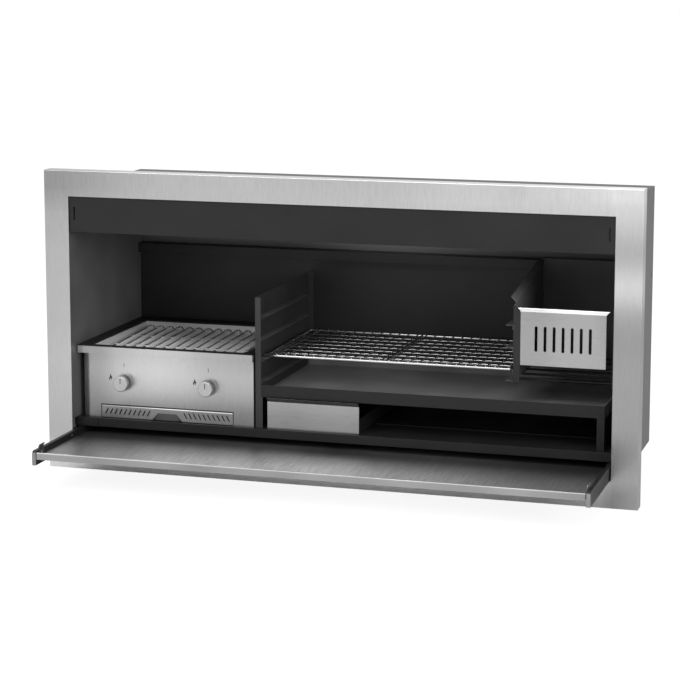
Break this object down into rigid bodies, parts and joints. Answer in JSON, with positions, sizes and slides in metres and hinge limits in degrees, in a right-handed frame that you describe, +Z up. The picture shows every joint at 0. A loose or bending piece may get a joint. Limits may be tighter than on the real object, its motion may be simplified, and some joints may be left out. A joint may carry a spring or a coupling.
{
  "type": "built-in gas and wood grill",
  "caption": "Built-in grill with stainless fascia, gas burner unit, wood fire bay with wire grid, ash drawer, ember box and slide-out door tray.",
  "frame": {"origin": "middle of the casing's underside", "axes": "+X to the right seen from the front, +Y into the wall, +Z up"},
  "size_m": [1.5, 0.786, 0.757],
  "materials": {
    "brushed_stainless": "brushed, straight grain",
    "dark_coated_steel": "matt heat-resistant black coating",
    "bright_wire": "polished stainless rod",
    "knob_metal": "satin, spun face",
    "brass_fittings": "machined",
    "galvanised_steel": "plain zinc grey",
    "ceramic": "glazed white"
  },
  "bodies": {
    "casing": {"fascia_frame": "brushed_stainless", "casing_base": "dark_coated_steel", "casing_left": "dark_coated_steel", "casing_right": "dark_coated_steel", "casing_back": "dark_coated_steel", "casing_top": "dark_coated_steel", "side_liner_left": "dark_coated_steel", "side_liner_right": "dark_coated_steel", "back_shield": "dark_coated_steel", "back_shield_right": "dark_coated_steel", "smoke_lip": "dark_coated_steel", "valance": "dark_coated_steel", "latch_bracket_left": "dark_coated_steel", "latch_bracket_right": "dark_coated_steel", "deck": "dark_coated_steel", "deck_end_plates": "dark_coated_steel", "floor_liner": "dark_coated_steel", "divider": "dark_coated_steel", "divider_ledges": "dark_coated_steel", "fire_pan": "dark_coated_steel", "pan_support": "dark_coated_steel", "ember_box_left": "dark_coated_steel", "ember_box_right": "dark_coated_steel", "ember_box_ledges": "dark_coated_steel", "ember_box_front": "brushed_stainless", "ember_grate": "dark_coated_steel", "burner_front_panel": "brushed_stainless", "burner_box": "dark_coated_steel", "burner_top_frame": "dark_coated_steel", "burner_lip": "brushed_stainless", "burner_tubes": "galvanised_steel", "burner_support": "galvanised_steel", "ignition_electrodes": "ceramic", "gas_manifold": "galvanised_steel", "gas_valves": "brass_fittings", "gas_inlet_pipe": "brass_fittings", "knob_bezels": "dark_coated_steel", "door_rails": "galvanised_steel"},
    "door": {"door_panel": "brushed_stainless", "door_lip": "brushed_stainless", "door_arm_left": "brushed_stainless", "door_arm_right": "brushed_stainless", "door_hooks": "brushed_stainless", "arm_rivets": "brushed_stainless", "door_pins": "galvanised_steel"},
    "ash_drawer": {"ash_drawer_front": "brushed_stainless", "ash_drawer_pan": "dark_coated_steel"},
    "drip_tray": {"drip_tray_front": "brushed_stainless", "drip_tray_pan": "brushed_stainless"},
    "wire_grid": {"wire_grid_frame": "bright_wire", "wire_grid_wires": "bright_wire"},
    "vee_grill": {"grill_frame": "brushed_stainless", "grill_channels": "brushed_stainless", "grill_cross_bars": "brushed_stainless"},
    "knob_left_carrier": {"thrust_washer_left": "galvanised_steel"},
    "knob_right_carrier": {"thrust_washer_right": "galvanised_steel"},
    "left_knob": {"knob_left": "knob_metal", "valve_stem_left": "galvanised_steel"},
    "right_knob": {"knob_right": "knob_metal", "valve_stem_right": "galvanised_steel"}
  },
  "joints": [
    {"name": "door_slide", "type": "slide", "parent": "casing", "child": "door", "axis": [0, -1, 0], "range_m": [-0.115, 0.315]},
    {"name": "ash_drawer_slide", "type": "slide", "parent": "casing", "child": "ash_drawer", "axis": [0, -1, 0], "range_m": [0, 0.38]},
    {"name": "drip_tray_slide", "type": "slide", "parent": "casing", "child": "drip_tray", "axis": [0, -1, 0], "range_m": [0, 0.33]},
    {"name": "wire_grid_slide", "type": "slide", "parent": "casing", "child": "wire_grid", "axis": [0, -1, 0], "range_m": [-0.004, 0.048]},
    {"name": "vee_grill_lift", "type": "slide", "parent": "casing", "child": "vee_grill", "axis": [0, 0, 1], "range_m": [0, 0.1]},
    {"name": "left_knob_push", "type": "slide", "parent": "casing", "child": "knob_left_carrier", "axis": [0, 1, 0], "range_m": [0, 0.0035], "stiffness_N_per_m": 1500, "springref_m": -0.004},
    {"name": "left_knob_turn", "type": "hinge", "parent": "knob_left_carrier", "child": "left_knob", "pos_m": [-0.5635, -0.2225, 0.1685], "axis": [0, -1, 0], "range_deg": [0, 180]},
    {"name": "right_knob_push", "type": "slide", "parent": "casing", "child": "knob_right_carrier", "axis": [0, 1, 0], "range_m": [0, 0.0035], "stiffness_N_per_m": 1500, "springref_m": -0.004},
    {"name": "right_knob_turn", "type": "hinge", "parent": "knob_right_carrier", "child": "right_knob", "pos_m": [-0.3371, -0.2225, 0.1685], "axis": [0, -1, 0], "range_deg": [0, 180]}
  ]
}
